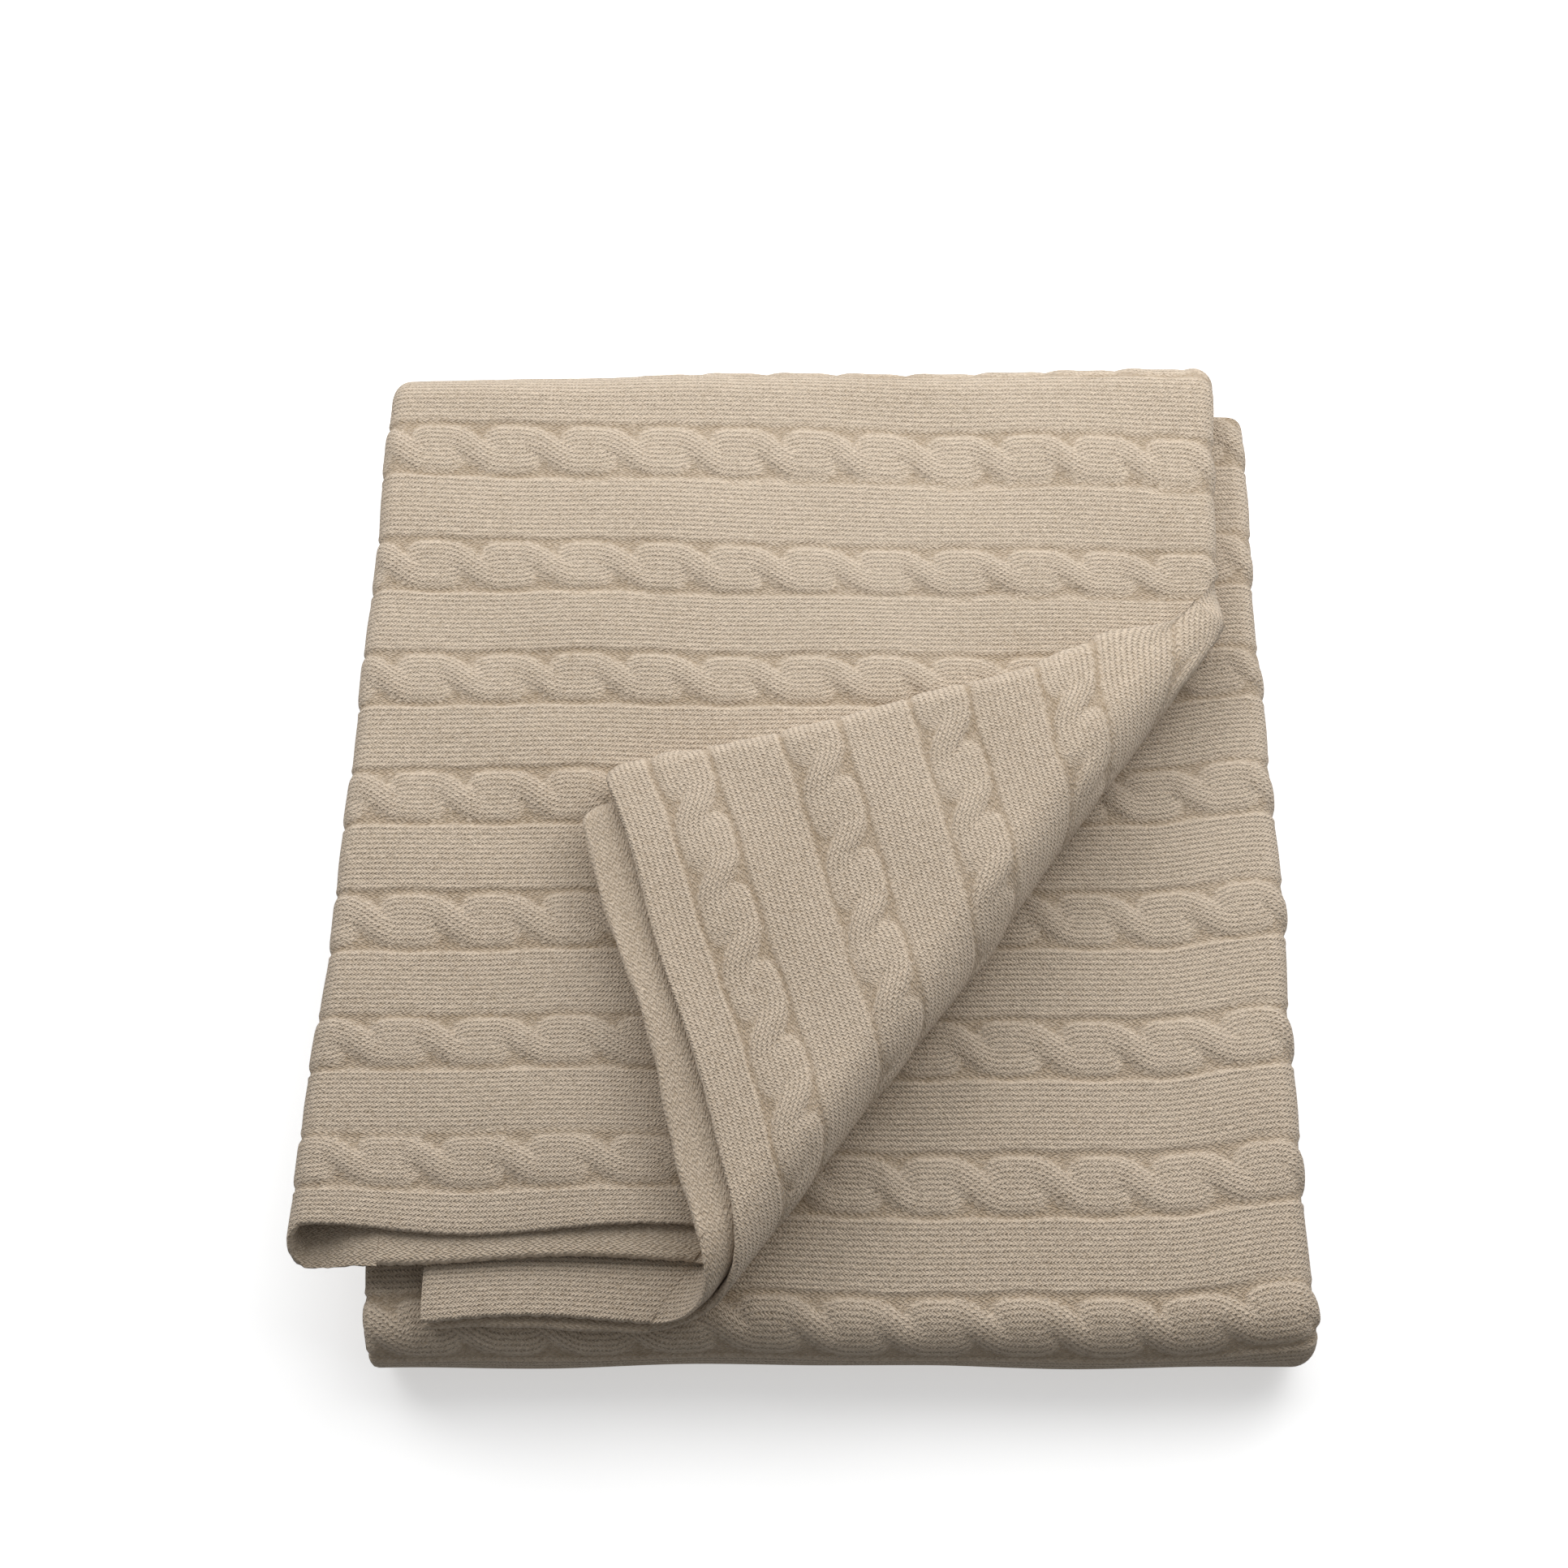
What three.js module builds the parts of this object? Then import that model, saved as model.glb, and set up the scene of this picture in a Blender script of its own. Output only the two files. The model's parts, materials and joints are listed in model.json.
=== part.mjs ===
// A cable-knit throw, folded flat with one corner of its upper bundle turned back.
//
// Millimetres, +Z up, +X to the right of someone in front of the pack, +Y to its back.
// The origin is under the middle of the pack, on the surface that it lies on.
//
// The cloth is folded in half along its length, in half again, and then in three across its
// width. That makes three bundles of four layers: a bottom, a middle and an upper bundle. The
// bottom one bends up to the middle one at the front, and up to the upper one at the back.
// A bundle's layer 1 is its outer face. Layers 1 and 4 join at the right-hand side, round the
// bend that joins layers 2 and 3, and layers 1 and 2 join at the left. The right-hand front
// corner of the upper bundle is turned back over the rest along a diagonal crease.

import * as THREE from 'three';

// ---------------------------------------------------------------- driving dimensions
const PITCH = 5;             // from one layer to the next
const GAP = 0.3;             // kept between pieces that touch
const LAYERS = 4;            // in each bundle
const BUNDLE = LAYERS * PITCH;
const FACETS = 5;            // flat facets in each quarter of a bend

// Underside of each bundle, and of the turned-back corner that lies on the top one.
const BOTTOM_Z = 0;
const MIDDLE_Z = BUNDLE;
const UPPER_Z = 2 * BUNDLE;
const CORNER_Z = 3 * BUNDLE;

// The straight part of the lower two bundles, before their bends.
const LOWER = { left: -170, rightFront: 186, rightBack: 194, front: -201, back: 202 };

// The upper bundle is wider at the front. Its front edges are stepped, layer 1's the shortest,
// and layers 3 and 4 end short of the left-hand loop, which sags beside them.
const UPPER = {
  backLeft: [-180, 202],
  frontLeftX: -194,
  backRight: [177, 202],
  rightAtCrease: [169, 90],
  frontEdges: [-176, -187, -209, -211],
  leftInsets: [0, 28, 46, 46],
};
const LOOP = { inner: 4.4, outer: 9.6, centreZ: UPPER_Z + 2 * PITCH };

// The crease is a level axis at the height of the upper bundle's top. The bends about it, and
// the straight stubs that they run on into, fill a round of this radius. The corner swings
// outside that round.
const CREASE = { start: [161, 91], end: [-46, -188], z: CORNER_Z, round: BUNDLE + 1 };

// The turned-back corner, seen from above: the line that its fold starts from, out to its tip,
// and how much further its lower three layers reach.
const CORNER = { foldAtCrease: [168, 78], tip: [-86, 3], lowerLayersProud: 14 };

const OUTSIDE_COLOUR = 0xd9ccb2;
const INSIDE_COLOUR = 0xcfc09f;

// ---------------------------------------------------------------- helpers
function knitMesh(name, geometry, colour) {
  const knit = new THREE.MeshStandardMaterial({ color: colour, roughness: 0.92, metalness: 0 });
  const mesh = new THREE.Mesh(geometry, knit);
  mesh.name = name;
  return mesh;
}

// A flat layer with its outline given as seen from above, in the space that starts at height z.
function flatLayer(name, outline, z) {
  const shape = new THREE.Shape(outline.map(([x, y]) => new THREE.Vector2(x, y)));
  const geometry = new THREE.ExtrudeGeometry(shape, { depth: PITCH - GAP, bevelEnabled: false });
  const mesh = knitMesh(name, geometry, OUTSIDE_COLOUR);
  mesh.position.z = z + GAP / 2;
  return mesh;
}

// The section of a bend, drawn out (x) and up (y) from its centre. It turns through half a
// round about a core of the given height, and can run straight on past both ends of the round.
function bendSection({ inner, outer, core = 0, stub = 0 }) {
  const shape = new THREE.Shape();
  const half = core / 2;
  shape.moveTo(-stub, -half - outer);
  shape.absarc(0, -half, outer, -Math.PI / 2, 0, false);
  shape.absarc(0, half, outer, 0, Math.PI / 2, false);
  shape.lineTo(-stub, half + outer);
  shape.lineTo(-stub, half + inner);
  shape.absarc(0, half, inner, Math.PI / 2, 0, true);
  shape.absarc(0, -half, inner, 0, -Math.PI / 2, true);
  shape.lineTo(-stub, -half - inner);
  shape.closePath();
  return shape;
}

// The nth bend of a nest, counted from the inside.
function nested(n, extra = {}) {
  return { inner: (n - 1) * PITCH + GAP / 2, outer: n * PITCH - GAP / 2, ...extra };
}

// Turns a section that was drawn out and up so that it stands upright and faces that way.
function faceOutwards(mesh, outX, outY) {
  mesh.rotation.set(Math.PI / 2, 0, Math.atan2(outY, outX), 'ZYX');
}

// A bend with its centre line between two points, which bulges to the right of that direction.
function bend(name, from, to, z, section, colour = OUTSIDE_COLOUR) {
  const along = new THREE.Vector2(to[0] - from[0], to[1] - from[1]);
  const options = { depth: along.length(), bevelEnabled: false, curveSegments: FACETS };
  const mesh = knitMesh(name, new THREE.ExtrudeGeometry(section, options), colour);
  faceOutwards(mesh, along.y, -along.x);
  mesh.position.set(to[0], to[1], z);
  return mesh;
}

// The two nested bends at the right-hand side of a bundle.
function sideFolds(group, name, from, to, z) {
  group.add(bend(`${name}_fold_inner`, from, to, z, bendSection(nested(1))));
  group.add(bend(`${name}_fold_outer`, from, to, z, bendSection(nested(2))));
}

// ---------------------------------------------------------------- bottom and middle bundles
function lowerBundle(name, baseZ, outerLayerOnTop) {
  const group = new THREE.Group();
  const outline = [
    [LOWER.left, LOWER.front],
    [LOWER.rightFront, LOWER.front],
    [LOWER.rightBack, LOWER.back],
    [LOWER.left, LOWER.back],
  ];
  for (let level = 0; level < LAYERS; level += 1) {
    const layer = outerLayerOnTop ? LAYERS - level : level + 1;
    group.add(flatLayer(`${name}_layer_${layer}`, outline, baseZ + level * PITCH));
  }
  const frontY = LOWER.front + GAP;
  const backY = LOWER.back - GAP;
  const rightFront = [LOWER.rightFront + GAP, frontY];
  const rightBack = [LOWER.rightBack + GAP, backY];
  sideFolds(group, `${name}_right`, rightFront, rightBack, baseZ + BUNDLE / 2);
  const leftX = LOWER.left - GAP;
  const leftZ = baseZ + (outerLayerOnTop ? LAYERS - 1 : 1) * PITCH;
  const section = bendSection(nested(1));
  group.add(bend(`${name}_left_fold`, [leftX, backY], [leftX, frontY], leftZ, section));
  return group;
}

// ---------------------------------------------------------------- bends between the bundles
function frontBends() {
  const group = new THREE.Group();
  const y = LOWER.front - GAP;
  for (let n = 1; n <= LAYERS; n += 1) {
    const name = `front_bend_${LAYERS + 1 - n}`;
    const section = bendSection(nested(n));
    group.add(bend(name, [LOWER.left, y], [LOWER.rightFront, y], MIDDLE_Z, section));
  }
  return group;
}

// The back bends go round the free back edges of the middle bundle.
function backBends() {
  const group = new THREE.Group();
  const y = LOWER.back + 2 * GAP;
  for (let n = 1; n <= LAYERS; n += 1) {
    const name = `back_bend_${LAYERS + 1 - n}`;
    const section = bendSection(nested(n, { core: BUNDLE }));
    const centreZ = MIDDLE_Z + BUNDLE / 2;
    group.add(bend(name, [UPPER.backRight[0], y], [LOWER.left, y], centreZ, section));
  }
  return group;
}

// ---------------------------------------------------------------- plan of the crease
const creaseAlong = new THREE.Vector2(
  CREASE.end[0] - CREASE.start[0],
  CREASE.end[1] - CREASE.start[1],
).normalize();
const creaseOut = new THREE.Vector2(-creaseAlong.y, creaseAlong.x);

// The point at a distance along the crease and a distance out from it, to the front right.
function atCrease(along, out) {
  return [
    CREASE.start[0] + along * creaseAlong.x + out * creaseOut.x,
    CREASE.start[1] + along * creaseAlong.y + out * creaseOut.y,
  ];
}

// Where, along the crease, a level front edge passes the given distance out.
function frontEdgeAlong(layer, out) {
  const y = UPPER.frontEdges[layer - 1];
  return (y - CREASE.start[1] - out * creaseOut.y) / creaseAlong.y;
}

// Where, along the crease, the corner's fold line passes the given distance out.
function cornerFoldAlong(out) {
  const near = new THREE.Vector2(...CORNER.foldAtCrease).sub(new THREE.Vector2(...CREASE.start));
  const far = new THREE.Vector2(...CORNER.tip).sub(new THREE.Vector2(...CREASE.start));
  const share = (out - near.dot(creaseOut)) / (far.dot(creaseOut) - near.dot(creaseOut));
  return THREE.MathUtils.lerp(near.dot(creaseAlong), far.dot(creaseAlong), share);
}

function creaseRadius(layer) {
  return (layer - 0.5) * PITCH;
}

// How far straight cloth at a height above or below the axis reaches inside a round about it.
function reachInRound(radius, height) {
  return Math.sqrt(radius ** 2 - height ** 2);
}

function stubLength(layer) {
  return reachInRound(CREASE.round, layer * PITCH);
}

// ---------------------------------------------------------------- upper bundle
function upperOutline(layer) {
  const inset = UPPER.leftInsets[layer - 1];
  const clear = -stubLength(layer) - GAP;
  return [
    [UPPER.backLeft[0] + inset, UPPER.backLeft[1]],
    [UPPER.frontLeftX + inset, UPPER.frontEdges[layer - 1]],
    atCrease(frontEdgeAlong(layer, clear), clear),
    atCrease(-GAP, clear),
    UPPER.rightAtCrease,
    UPPER.backRight,
  ];
}

// The left-hand loop hangs open: layer 2 slopes down into it from inside the bundle.
function loopSection() {
  const tail = UPPER.leftInsets[1] - 2 * GAP;
  const shape = new THREE.Shape();
  shape.moveTo(0, -LOOP.outer);
  shape.absarc(0, 0, LOOP.outer, -Math.PI / 2, Math.PI / 2, false);
  shape.lineTo(0, LOOP.inner);
  shape.absarc(0, 0, LOOP.inner, Math.PI / 2, -Math.PI / 2, true);
  shape.lineTo(-tail, PITCH - GAP / 2);
  shape.lineTo(-tail, GAP / 2);
  shape.closePath();
  return shape;
}

function upperBundle() {
  const group = new THREE.Group();
  for (let layer = 1; layer <= LAYERS; layer += 1) {
    const z = UPPER_Z + (LAYERS - layer) * PITCH;
    group.add(flatLayer(`upper_layer_${layer}`, upperOutline(layer), z));
  }
  const rightFront = [UPPER.rightAtCrease[0] + GAP, UPPER.rightAtCrease[1]];
  const rightBack = [UPPER.backRight[0] + GAP, UPPER.backRight[1]];
  sideFolds(group, 'upper_right', rightFront, rightBack, UPPER_Z + BUNDLE / 2);
  const leftBack = [UPPER.backLeft[0] - GAP, UPPER.backLeft[1]];
  const leftFront = [UPPER.frontLeftX - GAP, UPPER.frontEdges[0]];
  const section = loopSection();
  group.add(bend('upper_left_loop', leftBack, leftFront, LOOP.centreZ, section, INSIDE_COLOUR));
  return group;
}

// ---------------------------------------------------------------- the crease
// Each layer's front edge carries on round the bend on the slant, and so does the right-hand
// fold that the corner's own fold continues. out and up are measured from the crease's axis.
function creaseEnds(layer, out, up) {
  const radius = creaseRadius(layer);
  const onStub = out < 0;
  const turned = onStub ? Number(up > 0) : Math.atan2(up, out) / Math.PI + 0.5;
  const past = onStub ? (up > 0 ? -out : out) : 0;
  return {
    start: turned * cornerFoldAlong(up > 0 ? Math.min(out, 0) : 0),
    end: frontEdgeAlong(layer, turned * Math.PI * radius + past),
  };
}

function creaseBend(layer) {
  const section = bendSection(nested(layer, { stub: stubLength(layer) }));
  const options = { depth: 1, bevelEnabled: false, curveSegments: FACETS };
  const geometry = new THREE.ExtrudeGeometry(section, options);
  const position = geometry.attributes.position;
  for (let i = 0; i < position.count; i += 1) {
    const { start, end } = creaseEnds(layer, position.getX(i), position.getY(i));
    position.setZ(i, THREE.MathUtils.lerp(start, end, position.getZ(i)));
  }
  const mesh = knitMesh(`crease_bend_${layer}`, geometry, OUTSIDE_COLOUR);
  faceOutwards(mesh, creaseOut.x, creaseOut.y);
  mesh.position.set(CREASE.start[0], CREASE.start[1], CREASE.z);
  return mesh;
}

// ---------------------------------------------------------------- the turned-back corner
function cornerOutline(layer) {
  const clear = -reachInRound(CREASE.round + GAP, (layer - 1) * PITCH);
  const foldStart = new THREE.Vector2(...atCrease(cornerFoldAlong(clear), clear));
  const foldEnd = new THREE.Vector2(...CORNER.tip);
  const length = foldStart.distanceTo(foldEnd) + (layer < LAYERS ? CORNER.lowerLayersProud : 0);
  const tip = foldEnd.sub(foldStart).setLength(length).add(foldStart);
  const bendLength = Math.PI * creaseRadius(layer);
  return [
    foldStart.toArray(),
    tip.toArray(),
    atCrease(frontEdgeAlong(layer, bendLength - clear), clear),
  ];
}

function turnedCorner() {
  const group = new THREE.Group();
  for (let layer = 1; layer <= LAYERS; layer += 1) {
    const z = CORNER_Z + (layer - 1) * PITCH;
    group.add(flatLayer(`corner_layer_${layer}`, cornerOutline(layer), z));
  }
  const clear = -CREASE.round - GAP;
  const [nearX, nearY] = atCrease(cornerFoldAlong(clear), clear);
  const near = [nearX, nearY + GAP];
  const tip = [CORNER.tip[0], CORNER.tip[1] + GAP];
  sideFolds(group, 'corner', near, tip, CORNER_Z + BUNDLE / 2);
  return group;
}

// ---------------------------------------------------------------- the whole throw
const throwBlanket = new THREE.Group();
throwBlanket.add(lowerBundle('bottom', BOTTOM_Z, false));
throwBlanket.add(lowerBundle('middle', MIDDLE_Z, true));
throwBlanket.add(frontBends());
throwBlanket.add(backBends());
throwBlanket.add(upperBundle());
for (let layer = 1; layer <= LAYERS; layer += 1) {
  throwBlanket.add(creaseBend(layer));
}
throwBlanket.add(turnedCorner());

// Put the origin under the middle of the pack.
throwBlanket.updateMatrixWorld(true);
const bounds = new THREE.Box3().setFromObject(throwBlanket, true);
throwBlanket.position.x = -(bounds.min.x + bounds.max.x) / 2;
throwBlanket.position.y = -(bounds.min.y + bounds.max.y) / 2;
throwBlanket.position.z = -bounds.min.z;
throwBlanket.updateMatrixWorld(true);

export default throwBlanket;
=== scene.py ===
import json
import math

import bmesh
import bpy
import numpy as np
from mathutils import Matrix, Vector


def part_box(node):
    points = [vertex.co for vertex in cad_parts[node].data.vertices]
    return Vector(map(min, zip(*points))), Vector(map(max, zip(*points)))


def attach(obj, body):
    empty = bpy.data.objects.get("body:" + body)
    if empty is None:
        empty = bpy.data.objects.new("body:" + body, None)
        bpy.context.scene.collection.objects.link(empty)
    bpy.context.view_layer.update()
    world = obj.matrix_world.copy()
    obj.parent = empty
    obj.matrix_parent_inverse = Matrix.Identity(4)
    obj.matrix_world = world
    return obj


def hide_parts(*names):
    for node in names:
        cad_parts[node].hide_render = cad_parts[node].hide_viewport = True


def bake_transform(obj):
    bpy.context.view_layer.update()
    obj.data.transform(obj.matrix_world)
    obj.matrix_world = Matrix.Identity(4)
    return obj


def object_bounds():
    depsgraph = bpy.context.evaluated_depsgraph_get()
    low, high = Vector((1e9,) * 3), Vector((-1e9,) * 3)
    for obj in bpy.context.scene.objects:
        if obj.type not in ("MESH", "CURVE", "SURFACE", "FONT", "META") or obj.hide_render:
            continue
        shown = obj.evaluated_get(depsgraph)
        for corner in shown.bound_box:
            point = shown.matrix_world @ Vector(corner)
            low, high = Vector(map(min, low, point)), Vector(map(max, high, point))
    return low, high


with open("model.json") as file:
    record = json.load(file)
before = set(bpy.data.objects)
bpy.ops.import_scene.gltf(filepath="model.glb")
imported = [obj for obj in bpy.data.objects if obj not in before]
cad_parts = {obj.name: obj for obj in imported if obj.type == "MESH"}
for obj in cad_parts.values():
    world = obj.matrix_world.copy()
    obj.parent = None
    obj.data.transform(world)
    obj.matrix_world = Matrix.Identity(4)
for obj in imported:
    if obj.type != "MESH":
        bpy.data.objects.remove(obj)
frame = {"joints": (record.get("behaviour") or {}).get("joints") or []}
cad_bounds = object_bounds()

# Lengths below are in millimetres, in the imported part's frame. to_metres() is used at the end.
MM = 0.001


# ---------------------------------------------------------------- places read from the frame
def node_box(node):
    low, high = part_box(node)
    return np.array(low) / MM, np.array(high) / MM


CREASE_JOINT = next(j for j in frame["joints"] if j["name"] == "corner_turn")
AXIS_POINT = np.array(CREASE_JOINT["pos_m"]) / MM
ALONG = -np.array(CREASE_JOINT["axis"])[:2]  # from the right-hand side to the front edges
OUT = np.array([-ALONG[1], ALONG[0]])  # level, square to the crease, away from the stack

middle_low, middle_high = node_box("middle_layer_1")
upper_low, upper_high = node_box("upper_layer_1")
front_high = node_box("front_bend_1")[1]

PITCH = 5.0  # from one layer to the next
BUNDLE = 4 * PITCH
FOLD_CLEAR = 0.6  # from the end of the flat layers to the centre line of the bends
INNER_BEND = PITCH / 2  # radius of the fold between two neighbouring layers
OUTER_BEND = 3 * PITCH / 2  # radius of the fold round those two
FOLD_HEIGHT = BUNDLE / 2  # of the centre line of both side folds, in their bundle
BACK_Y = middle_high[1] + FOLD_CLEAR
FRONT_Y = middle_low[1] - FOLD_CLEAR / 2
LOWER_LEFT = middle_low[0]
LOWER_RIGHT_FRONT = front_high[0]
LOWER_RIGHT_BACK = middle_high[0]
UPPER_LEFT_FRONT = upper_low[0]
UPPER_LEFT_BACK = UPPER_LEFT_FRONT + 14
UPPER_RIGHT_BACK = upper_high[0]
UPPER_RIGHT_SLOPE = 8 / 112  # the upper bundle's right side comes in towards the front
AXIS_Z = AXIS_POINT[2]
TURNED_FROM = 300.0  # added to the length along a layer that runs from right to left

# Where each layer's free front edge is, in the upper bundle and in the turned-back corner.
# The corner's are given as they would be if it were turned forward again.
LAYERS = (1, 2, 3, 4)
UPPER_FRONT = {k: node_box(f"upper_layer_{k}")[0][1] for k in LAYERS}
CORNER_FRONT = {1: -168.5, 2: -181.0, 3: -184.0, 4: -168.5}

# Height of each layer's middle above the face of the bundle that layer 4 is on.
HEIGHT = {k: (4.5 - k) * PITCH for k in LAYERS}

# ---------------------------------------------------------------- the knitted cloth
FACE = 0.8  # from a layer's middle to its plain right side
REVERSE = -2.1  # from a layer's middle to its wrong side
CABLE_PERIOD = 56.3  # from one cable to the next
WALE = CABLE_PERIOD / 25  # from one column of stitches to the next
COURSE = 1.5  # from one stitch to the next, along a column
DITCH_HALF = 13.7  # from a cable's middle to the plain band beside it
ROPE_HALF = 12.0
TWIST = 32.8  # between crossings
SWAP = 0.38  # half of the share of a twist in which the strands change places
STRAND_OFFSET = 2.5 * WALE  # twice this is a whole number of columns
STRAND_HALF = 6.2
STRAND_RISE = 1.25
FRONT_SWELL = 0.6  # share by which the front strand rises at a crossing
BACK_SINK = 0.9  # share by which the back strand sinks there
GROUND = -0.5  # the purl ground beside the strands
CROWN = 0.35  # how much higher the middle of a plain band is than its edge
LIP = 0.3  # height of the ridge along a plain band's edge
EDGE_FALL = 16  # how far behind a free edge its rise and fall die out

# Where the first cable lies across each bundle, and one of its crossings along it.
FIRST_CABLE = {"upper": -162.3, "middle": -209.6, "bottom": -209.6, "corner": -137.2}
CROSSING = {"upper": 15.8, "middle": -1.3, "bottom": -1.3, "corner": 8.0}


def smooth(x):
    x = np.clip(x, 0, 1)
    return x * x * (3 - 2 * x)


def ramp(x, start, end):
    """0 as far as start, 1 from end on, and smooth between them."""
    return smooth((x - start) / (end - start))


def dome(x):
    """The rounded section of a strand, from -1 at one side of it to 1 at the other."""
    return np.clip(1 - np.abs(x) ** 2.8, 0, None) ** 0.65


def knit(u, v):
    """How the right side is knitted: its height over plain knitting, its purl (0 is plain, 1
    purl, and 2 the purl ditches beside the cables), the position across the columns of
    stitches on plain ground and on the two strands, and the two strands' heights. u runs
    along the cables, with a crossing at 0. v runs across them, and is 0 in the middle of the
    cable nearest to the front edge."""
    d = (v + CABLE_PERIOD / 2) % CABLE_PERIOD - CABLE_PERIOD / 2
    d = np.where(v < -CABLE_PERIOD / 2, v, d)
    turn = (u / TWIST + 0.5) % 1 - 0.5
    window = math.pi / 2 * np.clip(turn / SWAP, -1, 1)
    swap = np.sin(window)
    over = np.cos(window) ** 2
    slope = STRAND_OFFSET * math.pi / 2 / (SWAP * TWIST) * np.cos(window)
    half = STRAND_HALF * np.sqrt(1 + slope**2)
    from_front = d + STRAND_OFFSET * swap
    from_back = d - STRAND_OFFSET * swap
    front = STRAND_RISE * (1 + FRONT_SWELL * over) * dome(from_front / half)
    back = STRAND_RISE * (1 - BACK_SINK * over) * dome(from_back / half)
    both = STRAND_RISE * (1 - BACK_SINK * over) * dome(d / (ROPE_HALF * (1 - 0.25 * over)))
    rope = np.maximum(np.maximum(front, back), both)
    away = np.abs(d * (1 + 0.03 * np.cos(2 * math.pi * turn))) - DITCH_HALF
    crown = CROWN * (1 - np.clip(1 - away / 15, 0, 1) ** 2)
    band = crown + LIP * np.exp(-((away - 1.0) / 1.1) ** 2)
    step = smooth((away + 0.6) / 1.2)
    height = (GROUND + rope) * (1 - step) + band * step
    purl = 2 * (1 - step) * (1 - smooth((rope - 0.2) / 0.5))
    middle = v - d
    places = np.stack([v, middle + from_front + STRAND_OFFSET, middle + from_back - STRAND_OFFSET])
    return height, purl, places, front * (1 - step), back * (1 - step)


def settle(p):
    """The small unevenness of soft cloth that lies in a pile. It stays flat on the floor."""
    x, y, z = p[:, 0], p[:, 1], p[:, 2]
    up = np.clip(z / (3 * BUNDLE), 0, 1.4)
    wave = 0.9 * np.sin(x / 47 + 1.3) * np.sin(y / 58 + 0.4)
    wave = wave + 0.55 * np.sin(x / 23 - y / 31 + 2.0) + 0.35 * np.sin(x / 17 + y / 13)
    moved = p.copy()
    moved[:, 0] += 0.9 * np.sin(y / 37 + z / 21 + 0.5) + 0.5 * np.sin(y / 15 + z / 9)
    moved[:, 1] += 0.8 * np.sin(x / 41 + z / 19 + 1.1) + 0.4 * np.sin(x / 16 - z / 11)
    moved[:, 2] += up * wave
    return moved


# ---------------------------------------------------------------- sections and rows
def column(wl, wr, off, h, nx, nh):
    return np.stack(np.broadcast_arrays(wl, wr, off, h, nx, nh), axis=1).astype(float)


def flat_run(h, up, count, left_off=0.0, right_off=0.0, reverse=False):
    """Columns of a level run of cloth between the bundle's left and right bends."""
    f = np.linspace(0, 1, count)
    if reverse:
        f = f[::-1]
    off = left_off * (1 - f) + right_off * f
    return column(1 - f, f, off, h, 0.0, 1.0 if up else -1.0)


def bend_run(side, h, radius, start, end, count, face_out=True):
    """Columns of a round bend about a line at the left (0) or right (1) of the bundle."""
    a = np.radians(np.linspace(start, end, count))
    s = 1.0 if face_out else -1.0
    off = radius * np.cos(a)
    return column(1 - side, side, off, h + radius * np.sin(a), s * np.cos(a), s * np.sin(a))


def curve_run(points, count):
    """Columns of a cubic curve near the bundle's left side, face outward on its right."""
    t = np.linspace(0, 1, count)[:, None]
    p = np.array(points, float)
    at = (1 - t) ** 3 * p[0] + 3 * t * (1 - t) ** 2 * p[1]
    at = at + 3 * t**2 * (1 - t) * p[2] + t**3 * p[3]
    along = np.gradient(at, axis=0)
    along /= np.linalg.norm(along, axis=1)[:, None]
    return column(1.0, 0.0, at[:, 0], at[:, 1], -along[:, 1], along[:, 0])


def joined(*runs):
    """One run of columns from several, with the doubled columns dropped."""
    kept = [runs[0]]
    for run in runs[1:]:
        kept.append(run[1:])
    return np.concatenate(kept)


def level_rows(ys, z, up):
    ys = np.asarray(ys, float)
    return np.stack([ys, 0 * ys, 0 * ys + z, 0 * ys + up, ys], axis=1)


def arc_rows(y, z, start, end, count, sign, v, radius):
    """Rows that turn about a line across the bundle, from start to end degrees off +Z."""
    a = np.radians(np.linspace(start, end, count))
    run = abs(a - a[0]) * radius
    return np.stack([0 * a + y, sign * np.sin(a), 0 * a + z, np.cos(a), v + sign * run], axis=1)


def graded(start, end, first_cable, fine, coarse):
    """Row positions that are close together at the cables and wider apart in the bands."""
    ys = [start]
    while ys[-1] < end - 0.3 * fine:
        d = (ys[-1] - first_cable + CABLE_PERIOD / 2) % CABLE_PERIOD - CABLE_PERIOD / 2
        near_edge = abs(abs(d) - DITCH_HALF + 0.5) < 1.6
        in_band = abs(d) > DITCH_HALF + 3
        ys.append(ys[-1] + (0.75 if near_edge else coarse if in_band else fine))
    ys[-1] = end
    return np.array(ys)


# ---------------------------------------------------------------- meshes
def to_metres(points):
    return (points * MM).tolist()


def mesh_object(name, points, faces, corner_values):
    mesh = bpy.data.meshes.new(name)
    mesh.from_pydata(to_metres(points), [], faces)
    attribute = mesh.attributes.new("knit", "FLOAT_VECTOR", "CORNER")
    attribute.data.foreach_set("vector", np.asarray(corner_values, np.float32).ravel())
    obj = bpy.data.objects.new(name, mesh)
    bpy.context.scene.collection.objects.link(obj)
    return obj


def every(count, step):
    picked = list(range(0, count, step))
    if picked[-1] != count - 1:
        picked.append(count - 1)
    return picked


def cells(index):
    a, b, c, d = index[:-1, :-1], index[:-1, 1:], index[1:, 1:], index[1:, :-1]
    return np.stack([a, b, c, d], axis=-1).reshape(-1, 4)


def rim_faces(index, under, ri, ci):
    """One face along the edge of a sheet for each coarse cell of its wrong side."""
    faces = []
    for k in range(len(ci) - 1):
        top = index[0, ci[k]:ci[k + 1] + 1].tolist()
        faces.append(top[::-1] + [under[0, k], under[0, k + 1]])
        top = index[-1, ci[k]:ci[k + 1] + 1].tolist()
        faces.append(top + [under[-1, k + 1], under[-1, k]])
    for k in range(len(ri) - 1):
        top = index[ri[k]:ri[k + 1] + 1, 0].tolist()
        faces.append(top + [under[k + 1, 0], under[k, 0]])
        top = index[ri[k]:ri[k + 1] + 1, -1].tolist()
        faces.append(top[::-1] + [under[k, -1], under[k + 1, -1]])
    return faces


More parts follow.
